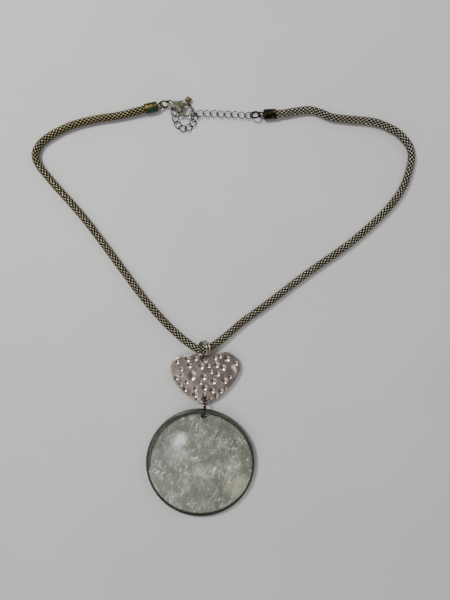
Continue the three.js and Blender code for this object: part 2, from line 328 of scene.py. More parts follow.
def agedMetalMaterial(name, dark, middle, bright, patchSize, roughness, patina=None, patinaAmount=0.5):
    # cast or drawn metal with an antique plating: dark in patches, rubbed bright in others;
    # the patches' size is in millimetres, and the 0.25 mm grain is coarser than real, to show
    made, tree, shader = newMaterial(name, {"Metallic": 1.0, "Roughness": roughness})
    place = addNode(tree, "TexCoord").outputs["Object"]
    patches = addNode(
        tree, "TexNoise", {"Vector": place, "Scale": perMetre(patchSize), "Detail": 5.0, "Roughness": 0.6}
    ).outputs["Fac"]
    tone = addNode(
        tree, "ValToRGB", {"Fac": patches}, [(0.32, dark), (0.5, middle), (0.68, bright)]
    ).outputs["Color"]
    grain = addNode(
        tree, "TexNoise", {"Vector": place, "Scale": perMetre(0.25), "Detail": 3.0}
    ).outputs["Fac"]
    if patina:
        spots = addNode(
            tree, "TexNoise", {"Vector": place, "Scale": perMetre(2.2), "Detail": 4.0, "Distortion": 0.6}
        ).outputs["Fac"]
        side = addNode(tree, "Attribute", attribute_name="side").outputs["Fac"]
        spots = addNode(tree, "Math", {0: side, 1: 0.2, 2: spots}, operation="MULTIPLY_ADD").outputs["Value"]
        mask = addNode(
            tree, "MapRange",
            {"Value": spots, "From Min": 0.62 - 0.25 * patinaAmount, "From Max": 0.72 - 0.2 * patinaAmount},
        ).outputs["Result"]
        tone = addNode(
            tree, "Mix", {"Factor": mask, "A": tone, "B": linearColour(patina)}, data_type="RGBA"
        ).outputs["Result"]
        metal = addNode(tree, "MapRange", {"Value": mask, "To Min": 1.0, "To Max": 0.25}).outputs["Result"]
        tree.links.new(metal, shader.inputs["Metallic"])
    tree.links.new(tone, shader.inputs["Base Color"])
    rough = addNode(
        tree, "MapRange", {"Value": patches, "To Min": roughness + 0.15, "To Max": roughness - 0.12}
    ).outputs["Result"]
    tree.links.new(rough, shader.inputs["Roughness"])
    bump = addNode(tree, "Bump", {"Height": grain, "Strength": 0.25, "Distance": 0.00004}).outputs["Normal"]
    tree.links.new(bump, shader.inputs["Normal"])
    return made


def hammeredSilverMaterial():
    # antique silver plate over punched dents: rosy grey, darkened in the pits with painted shade, bright on
    # the rims
    made, tree, shader = newMaterial("hammered antique silver", {"Metallic": 1.0, "Roughness": 0.24})
    place = addNode(tree, "TexCoord").outputs["Object"]
    pit = addNode(tree, "Attribute", attribute_name="pit").outputs["Fac"]
    clouds = addNode(
        tree, "TexNoise", {"Vector": place, "Scale": perMetre(5.0), "Detail": 4.0}
    ).outputs["Fac"]
    skin = addNode(
        tree, "ValToRGB", {"Fac": clouds}, [(0.3, "#93827b"), (0.5, "#a99c92"), (0.7, "#b8aea2")]
    ).outputs["Color"]
    # painted shade: the deeper a point lies in a dent, the more dark mauve is mixed in, for the shade on the
    # dents' walls
    depth = addNode(
        tree, "MapRange", {"Value": pit, "From Min": 0.2, "From Max": 1.0, "To Min": 0.0, "To Max": 0.7}
    ).outputs["Result"]
    tone = addNode(
        tree, "Mix", {"Factor": depth, "A": skin, "B": linearColour("#5a4648")}, data_type="RGBA"
    ).outputs["Result"]
    tree.links.new(tone, shader.inputs["Base Color"])
    scuffs = addNode(
        tree, "TexNoise", {"Vector": place, "Scale": perMetre(0.5), "Detail": 4.0}
    ).outputs["Fac"]
    rough = addNode(tree, "MapRange", {"Value": scuffs, "To Min": 0.16, "To Max": 0.36}).outputs["Result"]
    tree.links.new(rough, shader.inputs["Roughness"])
    bump = addNode(tree, "Bump", {"Height": scuffs, "Strength": 0.12, "Distance": 0.00004}).outputs["Normal"]
    tree.links.new(bump, shader.inputs["Normal"])
    return made


def oliveResinMaterial():
    # cast olive resin: nearly black in the thick rim, greener where light gets in
    made, tree, shader = newMaterial(
        "olive cast resin, polished",
        {"Roughness": 0.3, "IOR": 1.5, "Coat Weight": 0.2, "Coat Roughness": 0.15},
    )
    place = addNode(tree, "TexCoord").outputs["Object"]
    swirl = addNode(
        tree, "TexNoise", {"Vector": place, "Scale": perMetre(7.0), "Detail": 3.0, "Distortion": 0.8}
    ).outputs["Fac"]
    tone = addNode(tree, "ValToRGB", {"Fac": swirl}, [(0.3, "#191b11"), (0.55, "#292c1d"), (0.75, "#383b29")])
    tree.links.new(tone.outputs["Color"], shader.inputs["Base Color"])
    return made


def motherOfPearlMaterial():
    # crushed shell leaf in resin: long overlapping flakes that each catch the light their own way, with
    # fibrous streaks, painted sparkle and glinting strokes, a painted highlight patch, a darker side and a
    # creamy corner
    middle = (-4.6, -71.3, 3.5)  # the disc's centre, millimetres
    wanderReach = 9.0  # how far the flakes are pushed out of line, millimetres
    made, tree, shader = newMaterial(
        "mother of pearl leaf",
        {"Metallic": 0.35, "Roughness": 0.3, "IOR": 1.55, "Coat Weight": 0.6, "Coat Roughness": 0.15},
    )
    place = addNode(tree, "TexCoord").outputs["Object"]
    centre = addNode(
        tree, "Mapping", {"Vector": place, "Location": [-a * mm for a in middle]}, vector_type="POINT"
    ).outputs["Vector"]
    wander = addNode(
        tree, "TexNoise", {"Vector": centre, "Scale": perMetre(9.0), "Detail": 3.0}
    ).outputs["Color"]
    bent = addNode(
        tree, "VectorMath", {0: wander, 1: (wanderReach * mm, wanderReach * mm, 0.0), 2: centre},
        operation="MULTIPLY_ADD",
    ).outputs["Vector"]
    flakes = []
    # direction in degrees, length and width in millimetres
    for turn, length, width in ((62, 5.5, 1.3), (118, 3.6, 0.9)):
        laid = addNode(
            tree, "Mapping",
            {"Vector": bent, "Rotation": (0, 0, math.radians(turn)), "Scale": (length * mm, width * mm, 1.0)},
            vector_type="TEXTURE",
        ).outputs["Vector"]
        cells = addNode(tree, "TexVoronoi", {"Vector": laid, "Scale": 1.0}, voronoi_dimensions="2D")
        lean = addNode(
            tree, "VectorMath", {0: cells.outputs["Color"], 1: (0.5, 0.5, 0.5)}, operation="SUBTRACT"
        ).outputs["Vector"]
        inside = addNode(
            tree, "VectorMath", {0: laid, 1: cells.outputs["Position"]}, operation="SUBTRACT"
        ).outputs["Vector"]
        tilt = addNode(tree, "VectorMath", {0: inside, 1: lean}, operation="DOT_PRODUCT").outputs["Value"]
        flakes.append((tilt, cells.outputs["Color"]))
    fibres = []
    for turn, length, width in ((66, 7.0, 0.7), (140, 5.0, 0.6)):
        laid = addNode(
            tree, "Mapping",
            {"Vector": bent, "Rotation": (0, 0, math.radians(turn)), "Scale": (length * mm, width * mm, 1.0)},
            vector_type="TEXTURE",
        ).outputs["Vector"]
        fibres.append(
            addNode(
                tree, "TexNoise", {"Vector": laid, "Scale": 1.0, "Detail": 4.0, "Roughness": 0.6},
                noise_dimensions="2D",
            ).outputs["Fac"]
        )
    clouds = addNode(
        tree, "TexNoise", {"Vector": centre, "Scale": perMetre(10.0), "Detail": 4.0}
    ).outputs["Fac"]
    lines = addNode(tree, "Math", {0: fibres[0], 1: fibres[1]}, operation="MAXIMUM").outputs["Value"]
    flecks = addNode(tree, "Math", {0: clouds, 1: 0.9, 2: lines}, operation="MULTIPLY_ADD").outputs["Value"]
    skin = addNode(
        tree, "ValToRGB", {"Fac": clouds},
        [(0.32, "#585d4f"), (0.45, "#6f7461"), (0.58, "#828671"), (0.72, "#979b88")],
    ).outputs["Color"]
    shades = addNode(
        tree, "MixRGB", {"Fac": 0.3, "Color1": skin, "Color2": flakes[0][1]}, blend_type="SOFT_LIGHT"
    ).outputs["Color"]
    faded = addNode(tree, "HueSaturation", {"Color": shades, "Saturation": 0.3}).outputs["Color"]
    grey = addNode(
        tree, "MixRGB", {"Fac": 0.5, "Color1": faded, "Color2": linearColour("#757c5e")}
    ).outputs["Color"]
    # painted sparkle: a pale grey-white is mixed in where streaks and clouds run highest, partly the shell's
    # paler nacre and partly painted highlight on the flakes
    paintedSparkle = addNode(tree, "MapRange", {"Value": flecks, "From Min": 1.02, "From Max": 1.28}).outputs["Result"]
    bright = addNode(
        tree, "Mix", {"Factor": paintedSparkle, "A": grey, "B": linearColour("#d6dacb")}, data_type="RGBA"
    ).outputs["Result"]
    # painted glints: short near-white strokes in clusters, standing in for light glinting off the flakes
    short = addNode(
        tree, "Mapping",
        {"Vector": bent, "Rotation": (0, 0, math.radians(58)), "Scale": (3.0 * mm, 0.55 * mm, 1.0)},
        vector_type="TEXTURE",
    ).outputs["Vector"]
    strokes = addNode(
        tree, "TexNoise", {"Vector": short, "Scale": 1.0, "Detail": 2.0}, noise_dimensions="2D"
    ).outputs["Fac"]
    clusters = addNode(
        tree, "TexNoise", {"Vector": centre, "Scale": perMetre(6.5), "Detail": 1.0}, noise_dimensions="2D"
    ).outputs["Fac"]
    stroke = addNode(
        tree, "MapRange", {"Value": strokes, "From Min": 0.54, "From Max": 0.74}
    ).outputs["Result"]
    cluster = addNode(
        tree, "MapRange", {"Value": clusters, "From Min": 0.46, "From Max": 0.6}
    ).outputs["Result"]
    paintedGlints = addNode(tree, "Math", {0: stroke, 1: cluster}, operation="MULTIPLY").outputs["Value"]
    tone = addNode(
        tree, "Mix", {"Factor": paintedGlints, "A": bright, "B": linearColour("#eef0e4")}, data_type="RGBA"
    ).outputs["Result"]
    # soft patches: x and y in millimetres, inner and outer radius, amount, colour; the creamy corner and the
    # darker side are the shell's own colour, while the white patch and the pale one beside it are a painted
    # highlight
    for x, y, inner, outer, amount, colour in (
        (18.0, -11.0, 2.0, 8.0, 0.6, "#c4c1a4"),
        (-19.0, 8.0, 3.0, 12.0, 0.5, "#4a4e45"),
        (-9.4, 10.2, 0.8, 5.2, 0.9, "#ffffff"),
        (-11.5, 4.5, 1.0, 6.0, 0.5, "#b4b9b1"),
    ):
        away = addNode(
            tree, "VectorMath", {0: bent, 1: ((x + wanderReach / 2) * mm, (y + wanderReach / 2) * mm, 0.0)},
            operation="DISTANCE",
        ).outputs["Value"]
        mask = addNode(
            tree, "MapRange",
            {"Value": away, "From Min": outer * mm, "From Max": inner * mm, "To Max": amount},
            interpolation_type="SMOOTHSTEP",
        ).outputs["Result"]
        tone = addNode(
            tree, "Mix", {"Factor": mask, "A": tone, "B": linearColour(colour)}, data_type="RGBA"
        ).outputs["Result"]
    tree.links.new(tone, shader.inputs["Base Color"])
    rough = addNode(
        tree, "MapRange", {"Value": flecks, "From Min": 0.8, "From Max": 1.2, "To Min": 0.36, "To Max": 0.2}
    ).outputs["Result"]
    tree.links.new(rough, shader.inputs["Roughness"])
    folds = addNode(
        tree, "Math", {0: flakes[1][0], 1: 0.6, 2: flakes[0][0]}, operation="MULTIPLY_ADD"
    ).outputs["Value"]
    relief = addNode(tree, "Bump", {"Height": folds, "Strength": 0.4, "Distance": 0.0006}).outputs["Normal"]
    ribs = addNode(
        tree, "Bump", {"Height": lines, "Strength": 0.5, "Distance": 0.0004, "Normal": relief}
    ).outputs["Normal"]
    tree.links.new(ribs, shader.inputs["Normal"])
    return made


def clearResinMaterial():
    # clear cast resin over the shell, polished to a low dome: a gloss over the leaf, and light
    # passes straight through, because bent light would blur the streaks under it
    settings = {"Alpha": 0.08, "Roughness": 0.05, "IOR": 1.5, "Coat Weight": 1.0}
    settings["Base Color"] = linearColour("#2b2f27")
    made, tree, shader = newMaterial("clear cast resin, polished", settings)
    place = addNode(tree, "TexCoord").outputs["Object"]
    ripple = addNode(tree, "TexNoise", {"Vector": place, "Scale": perMetre(14.0)}).outputs["Fac"]
    bump = addNode(tree, "Bump", {"Height": ripple, "Strength": 0.15, "Distance": 0.0003}).outputs["Normal"]
    tree.links.new(bump, shader.inputs["Normal"])
    return made


def tableMaterial():
    # matt painted board, a warm pale grey with the faintest mottling
    made, tree, shader = newMaterial("matt painted board", {"Roughness": 0.75})
    place = addNode(tree, "TexCoord").outputs["Object"]
    mottle = addNode(
        tree, "TexNoise", {"Vector": place, "Scale": perMetre(60.0), "Detail": 3.0}
    ).outputs["Fac"]
    tone = addNode(tree, "ValToRGB", {"Fac": mottle}, [(0.3, "#bfbebe"), (0.7, "#c5c4c4")])
    tree.links.new(tone.outputs["Color"], shader.inputs["Base Color"])
    return made


wireMetal = tarnishedWireMaterial()
coreShade = paintedShadeCoreMaterial()
leftCapMetal = agedMetalMaterial(
    "bronze plating with verdigris", "#2a220f", "#463b1d", "#75683f", 1.6, 0.42, "#15301a", 0.35
)
rightCapMetal = agedMetalMaterial("bronze plating, browned", "#0c0805", "#241d13", "#5f573c", 1.8, 0.42)
darkWire = agedMetalMaterial("drawn wire, dark antique plating", "#120e0a", "#2b241d", "#665e50", 1.2, 0.36)
linkWire = agedMetalMaterial("drawn wire, grey antique plating", "#0f0d0a", "#2f2b24", "#625c50", 1.3, 0.38)
bailWire = agedMetalMaterial("drawn wire, worn silver plating", "#3a3024", "#8c8373", "#d4cfc2", 1.5, 0.3)
copperWire = agedMetalMaterial("drawn wire, browned copper", "#1e120d", "#4d3328", "#a08478", 1.4, 0.32)
claspMetal = agedMetalMaterial(
    "die cast metal with verdigris", "#26241b", "#6a6655", "#b5b09c", 1.6, 0.34, "#25472a", 0.25
)
ballMetal = agedMetalMaterial("turned bronze ball", "#3b3222", "#7a6c4c", "#c9bd9c", 0.9, 0.28)
heartMetal = hammeredSilverMaterial()
oliveResin = oliveResinMaterial()
pearlLeaf = motherOfPearlMaterial()
clearResin = clearResinMaterial()
tablePaint = tableMaterial()
print("materials made")


# knitted mesh chain, in millimetres but for its length
meshChain = {
    "length": 0.39,  # metres, as made, with about 3 mm of it inside each cap
    "diameter": 3.7,
    "strands": 7,  # each way; drawn coarser than the real knit of 10, so that it shows from a distance
    "turn": 14.0,  # length of one full turn of a strand
    "weave": 0.16,  # how far a strand rises and dips
    "wireHalfWidth": 0.27,
    "wireHalfThickness": 0.15,
    "core": 1.2,  # radius of a near-black lining, painted shade for the dark hollow inside
    "coreSides": 16,
    "stepsPerTurn": 28,
}
chainRoute = [
    (-27.4, 92.35, 2.2), (-30.2, 91.7, 2.2), (-34.1, 90.7, 2.15), (-42.0, 88.9, 1.9), (-54.5, 86.9, 1.85),
    (-65.6, 83.8, 1.85), (-75.4, 78.6, 1.85), (-79.2, 75.1, 1.85), (-80.9, 71.0, 1.85), (-79.8, 66.6, 1.85),
    (-74.1, 59.2, 1.85), (-58.8, 41.7, 1.85), (-39.9, 16.5, 1.85), (-30.7, 4.2, 1.85), (-19.7, -8.2, 1.85),
    (-9.5, -16.9, 2.4), (-5.4, -19.1, 2.95), (-1.7, -19.1, 3.0), (1.6, -17.3, 2.9), (5.3, -14.7, 2.4),
    (15.3, -6.4, 1.85), (25.3, 0.9, 1.85), (45.4, 16.2, 1.85), (65.5, 30.5, 1.85), (82.4, 46.1, 1.85),
    (89.4, 56.0, 1.85), (92.9, 67.1, 1.85), (93.1, 71.2, 1.85), (92.1, 74.8, 1.85), (89.8, 78.0, 1.85),
    (86.5, 81.2, 1.85), (77.0, 85.6, 1.85), (62.1, 87.4, 1.85), (55.6, 88.3, 1.85), (50.8, 90.3, 1.85),
    (45.9, 91.5, 1.85), (38.5, 90.7, 1.9), (34.2, 89.9, 2.1), (30.4, 89.5, 2.2), (27.5, 89.35, 2.2),
]


def knittedChain(facts, route):
    line, stations = evenSteps(smoothRoute(route, 24), facts["turn"] / facts["stepsPerTurn"])
    _, across, up = carriedFrames(line)
    beat = 2 * facts["strands"] * stations / facts["turn"]  # whole numbers are where strands cross
    middle = facts["diameter"] / 2 - facts["wireHalfThickness"] - facts["weave"]
    width = facts["wireHalfWidth"]
    section = [
        (-width, 0.0), (0.0, facts["wireHalfThickness"]), (width, 0.0), (0.0, -facts["wireHalfThickness"])
    ]
    verts, faces, lift, along, base = [], [], [], [], 0
    count = len(line)
    for way in (1, -1):
        for strand in range(facts["strands"]):
            angle = 2 * math.pi * (strand / facts["strands"] + way * stations / facts["turn"])
            rise = way * np.cos(math.pi * beat)
            outward = np.cos(angle)[:, None] * across + np.sin(angle)[:, None] * up
            sideways = -np.sin(angle)[:, None] * across + np.cos(angle)[:, None] * up
            for offset, thick in section:
                verts.append(
                    line + outward * (middle + facts["weave"] * rise + thick)[:, None] + sideways * offset
                )
                # lift: high on the crossing tops and outer faces, low in the dips and inner faces; the wire
                # ramps turn it into painted highlight and painted shade
                lift.append(0.5 + 0.32 * rise + 0.18 * (thick > 0) - 0.18 * (thick < 0))
                along.append(stations / stations[-1])
            rows = np.arange(count - 1)
            for k in range(4):
                a, b = base + k * count, base + ((k + 1) % 4) * count
                quads = np.column_stack([a + rows, a + rows + 1, b + rows + 1, b + rows])
                faces.append(quads)
            base += 4 * count
    wires = np.vstack(faces)
    # painted shade: a near-black lining inside the wires, standing in for the shade in the hollow seen
    # through the knit
    sides = facts["coreSides"]
    ring = 2 * math.pi * np.arange(sides) / sides
    coreLine = line[::3]
    coreAcross, coreUp = across[::3], up[::3]
    for a in ring:
        verts.append(coreLine + facts["core"] * (math.cos(a) * coreAcross + math.sin(a) * coreUp))
        lift.append(np.zeros(len(coreLine)))
        along.append(stations[::3] / stations[-1])
    rows = np.arange(len(coreLine) - 1)
    cores = []
    for k in range(sides):
        a, b = base + k * len(coreLine), base + ((k + 1) % sides) * len(coreLine)
        cores.append(np.column_stack([a + rows, a + rows + 1, b + rows + 1, b + rows]))
    cores = np.vstack(cores)
    allFaces = np.vstack([wires, cores])
    piece = buildMesh(
        "knittedTube", np.vstack(verts) * mm, allFaces,
        {"lift": np.concatenate(lift), "along": np.concatenate(along)},
    )
    slots = np.zeros(len(allFaces), dtype=np.int32)
    slots[len(wires) :] = 1
    return piece, slots, line * mm, stations[-1] * mm


knittedTube, tubeSlots, tubeLine, tubeLength = knittedChain(meshChain, chainRoute)
finishPiece(knittedTube, [wireMetal, coreShade], "necklace", ["mesh_chain"])
knittedTube.data.polygons.foreach_set("material_index", tubeSlots)
faceOut(knittedTube)
print("knitted chain made,", len(knittedTube.data.polygons), "faces,", round(float(tubeLength), 4), "m")


# crimped end caps and their eyes; a dent is its distance along, degrees round and depth
endCaps = {
    "left": {
        "place": (-30.2, 91.7, 2.25), "heading": 13.1, "roll": 0, "metal": leftCapMetal,
        "eyeMetal": leftCapMetal, "dents": [(2.6, 100, 0.12), (1.6, 250, 0.1)],
    },
    "right": {
        "place": (30.4, 89.5, 2.25), "heading": 182.6, "roll": -50, "metal": rightCapMetal,
        "eyeMetal": darkWire, "dents": [(2.8, 80, 0.2), (2.2, 300, 0.12)],
    },
}
capRadius = 2.25
# profiles of the distance along the cap and the radius, with a groove near each end
capProfile = [
    (0.35, 1.9), (0.02, 1.98), (0.0, 2.08), (0.06, 2.2), (0.2, 2.25), (0.5, 2.25), (0.62, 2.17),
    (0.74, 2.12), (0.86, 2.17), (0.98, 2.24), (1.5, 2.24), (2.1, 2.24), (2.7, 2.24), (3.3, 2.24),
    (3.9, 2.24), (4.4, 2.24), (4.52, 2.17), (4.64, 2.12), (4.76, 2.17), (4.88, 2.25), (5.2, 2.25),
    (5.36, 2.2), (5.42, 2.05), (5.42, 1.9),
]
plugProfile = [
    (5.2, 0), (5.2, 1.88), (5.47, 1.88), (5.5, 2.1), (5.62, 2.15), (5.8, 2.1), (5.92, 1.7), (5.98, 1.0),
    (6.05, 0.45), (6.35, 0.36), (6.35, 0),
]
capEye = {"start": 5.45, "radius": 1.1, "wire": 0.32, "reach": 1.75}


def endCap(side, facts):
    verts, faces = turnedForm(capProfile, 56)
    for x, degrees, depth in facts["dents"]:  # pressed by the crimping tool
        angle = np.degrees(np.arctan2(verts[:, 2], verts[:, 1])) % 360
        away = np.minimum(abs(angle - degrees), 360 - abs(angle - degrees))
        press = depth * np.exp(-((verts[:, 0] - x) ** 2) / 1.2 - (away / 28) ** 2)
        verts[:, 1:] *= (1 - press / capRadius)[:, None]
    matrix = placing(facts["place"], (0, 0, facts["heading"]))
    low = np.clip(-verts[:, 1] / capRadius, -1, 1)  # how far round each point lies towards the cap's own −y side; the verdigris mask is raised there
    piece = faceOut(buildMesh(f"{side}CrimpedCap", moved(matrix, verts), faces, {"side": low}))
    sharpen(finishPiece(piece, facts["metal"], "necklace", [f"{side}_end_cap"]), 50)
    plug = turnedForm(plugProfile, 48)
    ring = np.linspace(0, 2 * math.pi, 48, endpoint=False)
    middle = capEye["start"] + capEye["reach"]
    loop = np.column_stack(
        [middle - capEye["radius"] * np.cos(ring), capEye["radius"] * np.sin(ring), 0 * ring]
    )
    loopForm = wireAlong(loop, capEye["wire"], 12)
    matrix = placing(facts["place"], (facts["roll"], 0, facts["heading"]))
    verts, faces = joined(plug, loopForm)
    eye = faceOut(buildMesh(f"{side}CapEye", moved(matrix, verts), faces))
    sharpen(finishPiece(eye, facts["eyeMetal"], "necklace", [f"{side}_cap_eye"]), 50)


for side, facts in endCaps.items():
    endCap(side, facts)
print("end caps made")


sawCut = 0.05  # half the gap between a ring's two ends

# round rings: radius to the wire's middle, wire as a radius, split in degrees round the ring
ringPieces = {
    "leftJumpRing": {
        "node": "left_jump_ring", "body": "left_ring", "radius": 2.25, "wire": 0.37,
        "place": (-20.92, 93.7, 2.92), "turn": (80, -4, 2.5), "split": 200, "metal": darkWire,
        "slot": "dark_metal",
    },
    "rightJumpRing": {
        "node": "right_jump_ring", "body": "right_ring", "radius": 2.25, "wire": 0.385,
        "place": (20.74, 89.17, 1.96), "turn": (-34, -7, 0), "split": 250, "metal": darkWire,
        "slot": "dark_metal",
    },
    "leftBailRing": {
        "node": "bail_ring_left", "body": "bail_left", "radius": 3.7, "wire": 0.39,
        "place": (-3.3, -19.3, 3.6), "turn": (58, 0, 275), "split": 250, "metal": bailWire, "slot": "silver",
    },
    "rightBailRing": {
        "node": "bail_ring_right", "body": "bail_right", "radius": 3.7, "wire": 0.39,
        "place": (-2.15, -19.05, 3.5), "turn": (54.5, 0, 273), "split": 230, "metal": bailWire,
        "slot": "silver",
    },
    "discRing": {
        "node": "disc_ring", "body": "drop_ring", "radius": 3.4, "wire": 0.4, "place": (-2.6, -45.25, 3.85),
        "turn": (0, 90, 0), "split": 80, "metal": copperWire, "slot": "dark_metal",
    },
}


def splitRing(name, facts):
    # a ring bent from wire, its two sawn ends butted together
    opening = sawCut / facts["radius"]
    start = math.radians(facts["split"]) + opening
    ring = np.linspace(start, start + 2 * math.pi - 2 * opening, 72)
    wobble = 1 + 0.004 * np.sin(3 * ring + 1.0)
    line = np.column_stack([np.cos(ring) * wobble, np.sin(ring) * wobble, 0.004 * np.sin(2 * ring)])
    line *= facts["radius"]
    radii = np.full(len(ring), facts["wire"])
    radii[[0, -1]] *= 0.9
    verts, faces = wireAlong(line, radii, 14, closed=False)
    piece = faceOut(buildMesh(name, moved(placing(facts["place"], facts["turn"]), verts), faces))
    sharpen(finishPiece(piece, facts["metal"], facts["body"], [facts["node"]]), 60)


for name, facts in ringPieces.items():
    splitRing(name, facts)
print("rings made")


# curb links of the extender; each step is heading, rise and roll in degrees
curbLink = {
    "length": 4.1, "width": 3.3, "edge": 0.2, "wire": 0.196, "twist": 45, "frontPitch": 3.22,
    "tailPitch": 3.0, "seamReach": 0.09,
}
frontSteps = [
    (178, -2, 0), (176, 0, 0), (176, 0, 0), (178, 0, 0), (177, 0, 0), (178, 0, 0), (181, 3, 0), (177, 0, 0)
]
tailSteps = [
    (266, -3.5, -18), (242, 0, 0), (207, 0, 0), (165, 0, 0), (119, 0, 0), (101, 0, 0), (101, 0, 0), (79, 0, 0)
]


def linkForm(facts, join):
    # a twisted oval, soldered shut at one side
    ring = np.linspace(0, 2 * math.pi, 56, endpoint=False)
    half, side = facts["length"] / 2 - facts["edge"], facts["width"] / 2 - facts["edge"]
    turn = math.radians(facts["twist"]) * np.cos(ring)
    line = np.column_stack(
        [half * np.cos(ring), side * np.sin(ring) * np.cos(turn), side * np.sin(ring) * np.sin(turn)]
    )
    away = (ring - join + math.pi) % (2 * math.pi) - math.pi
    seam = np.exp(-((away / facts["seamReach"]) ** 2))
    return wireAlong(line, facts["wire"] * (1.0 + 0.1 * seam), 12)


def placeLink(name, node, body, matrix, join):
    verts, faces = linkForm(curbLink, join)
    piece = faceOut(buildMesh(name, moved(matrix, verts), faces))
    finishPiece(piece, linkWire, body, [node])


def layLinks(kind, numbers, start, pitch, steps):
    at = Vector(start)
    for number, (heading, rise, roll) in zip(numbers, steps):
        turn = Euler((math.radians(roll), -math.radians(rise), math.radians(heading)), "XYZ")
        way = turn.to_matrix() @ Vector((pitch / 2, 0, 0))
        at = at + way
        matrix = Matrix.Translation(at * mm) @ turn.to_matrix().to_4x4()
        placeLink(
            f"{kind}Link{number}", f"{kind}_link_{number}", f"{kind}_{number}", matrix,
            float(rng.choice([1.57, 4.71])),
        )
        at = at + way
    return at


layLinks("front", range(8, 0, -1), (19.17, 89.02, 1.52), curbLink["frontPitch"], frontSteps)
placeLink("caughtLink", "engaged_link", "engaged", placing((-7.91, 89.81, 1.93), (-74, 12, 174.3)), 4.71)
tailEnd = layLinks("tail", range(1, 9), (-7.26, 89.95, 1.08), curbLink["tailPitch"], tailSteps)
print("extender links made")


# head pin and the ball threaded on it
headPin = {
    "loop": 0.8, "loopRoll": -45, "wire": 0.2, "wrapWire": 0.15, "wrapRadius": 0.34, "wraps": 2.5,
    "reach": 6.3, "slack": 0.35, "ball": 1.35, "bore": 0.26,
}
pinHeadProfile = [(7.68, 0), (7.68, 0.35), (7.74, 0.48), (7.86, 0.5), (7.96, 0.4), (8.0, 0)]


def pinAndBall(facts):
    matrix = placing(tailEnd, (0, -4.7, 11))
    centre = facts["loop"] - facts["slack"]
    tilt = math.radians(facts["loopRoll"])
    neck = facts["loop"] * 2 - facts["slack"]
    wraps = np.linspace(0, 2 * facts["wraps"] * math.pi, 50)  # the wire's tail wound round the shank
    out = facts["wrapRadius"]
    coil = np.column_stack([neck + 0.15 + 0.32 * wraps / math.pi, out * np.cos(wraps), out * np.sin(wraps)])
    shank = np.array(
        [(neck - 0.15, 0, 0), (3.0, 0.02, 0), (5.0, 0, 0), (facts["reach"] + facts["ball"] + 0.15, 0, 0)]
    )
    head = turnedForm(pinHeadProfile, 24)
    full = np.linspace(0, 2 * math.pi, 40, endpoint=False)
    rise = facts["loop"] * np.sin(full)
    eye = np.column_stack(
        [centre + facts["loop"] * np.cos(full), rise * math.cos(tilt), rise * math.sin(tilt)]
    )
    verts, faces = joined(
        wireAlong(eye, facts["wire"], 12),
        wireAlong(coil, facts["wrapWire"], 8, closed=False),
        wireAlong(shank, facts["wire"], 12, closed=False),
        head,
    )
    pin = faceOut(buildMesh("headPin", moved(matrix, verts), faces))
    sharpen(finishPiece(pin, darkWire, "end_pin", ["head_pin"]), 60)
    angle = np.linspace(0.22, math.pi - 0.22, 30)
    profile = [(facts["reach"] - facts["ball"] * math.cos(a), facts["ball"] * math.sin(a)) for a in angle]
    inner = [(profile[-1][0] - 0.12, facts["bore"]), (profile[0][0] + 0.12, facts["bore"])]
    verts, faces = turnedForm(profile + inner + profile[:1], 40)
    ball = faceOut(buildMesh("endBall", moved(matrix, verts), faces))
    sharpen(finishPiece(ball, ballMetal, "end_pin", ["end_ball"]), 50)


pinAndBall(headPin)
print("head pin and ball made")


# lobster clasp: voxel is the finest detail kept, inset draws the skin in so that neighbours stay clear
claspPlacing = placing((-10.9, 91.1, 2.25), (0, 7, -20.5))
claspPieces = {
    "claspBody": {"node": "clasp_body", "body": "clasp", "voxel": 0.07, "passes": 6, "inset": 0.03},
    "claspGate": {"node": "clasp_lever", "body": "lever", "voxel": 0.055, "passes": 4, "inset": 0.05},
}


def castPiece(name, facts):
    # the frame's solid with its edges rounded as a casting's are
    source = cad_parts[facts["node"]]
    piece = bpy.data.objects.new(name, source.data.copy())
    scene.collection.objects.link(piece)
    remesh = piece.modifiers.new("remesh", "REMESH")
    remesh.mode, remesh.voxel_size = "VOXEL", facts["voxel"] * mm
    smooth = piece.modifiers.new("smooth", "SMOOTH")
    smooth.factor, smooth.iterations = 0.5, facts["passes"]
    inset = piece.modifiers.new("inset", "DISPLACE")
    inset.mid_level, inset.strength = 0.0, -facts["inset"] * mm
    applied(piece)
    piece.data.shade_smooth()
    finishPiece(piece, claspMetal, facts["body"], [facts["node"]])


for name, facts in claspPieces.items():
    castPiece(name, facts)
rivetProfile = [
    (-1.16, 0), (-1.14, 0.22), (-1.05, 0.36), (-1.0, 0.38), (1.0, 0.38), (1.05, 0.36), (1.14, 0.22),
    (1.16, 0),
]
rivetPlace = (-3.45, -1.45, 0)
rivetVerts, rivetFaces = turnedForm(rivetProfile, 28)
standing = Matrix.Rotation(math.radians(-90), 4, "Y")
rivetMatrix = claspPlacing @ Matrix.Translation(Vector(rivetPlace) * mm) @ standing
claspRivet = faceOut(buildMesh("claspRivet", moved(rivetMatrix, rivetVerts), rivetFaces))
finishPiece(claspRivet, bailWire, "clasp", ["clasp_pivot_pin"])
print("clasp made")


# hammered heart plate
heart = {
    "x": -2.4, "y": -32.4, "bottom": 2.4, "thickness": 1.0, "crown": 0.12, "rings": 84, "spokes": 360,
    "skin": 0.14,  # how far the face lies under the plate's full thickness
}
# how deep a dent of radius 1 and a hollow go, and the metal pushed up round a dent
dentDepth, hollowDepth, dentLip = 0.36, 0.38, 0.02
heartOutline = [
    (-15.8, 5.0, 0), (-13.6, 9.1, 0), (-9.5, 10.4, 0), (-1.9, 11.4, 0), (3.7, 10.9, 0), (9.7, 12.0, 0),
    (13.9, 10.2, 0),
    (16.1, 4.9, 0), (13.9, -0.7, 0), (10.4, -5.1, 0), (5.7, -9.2, 0), (-1.6, -11.7, 0), (-8.9, -7.7, 0),
    (-13.9, -2.2, 0),
]
heartHoles = [(-0.5, 9.1, 1.76), (-0.2, -9.6, 1.2)]
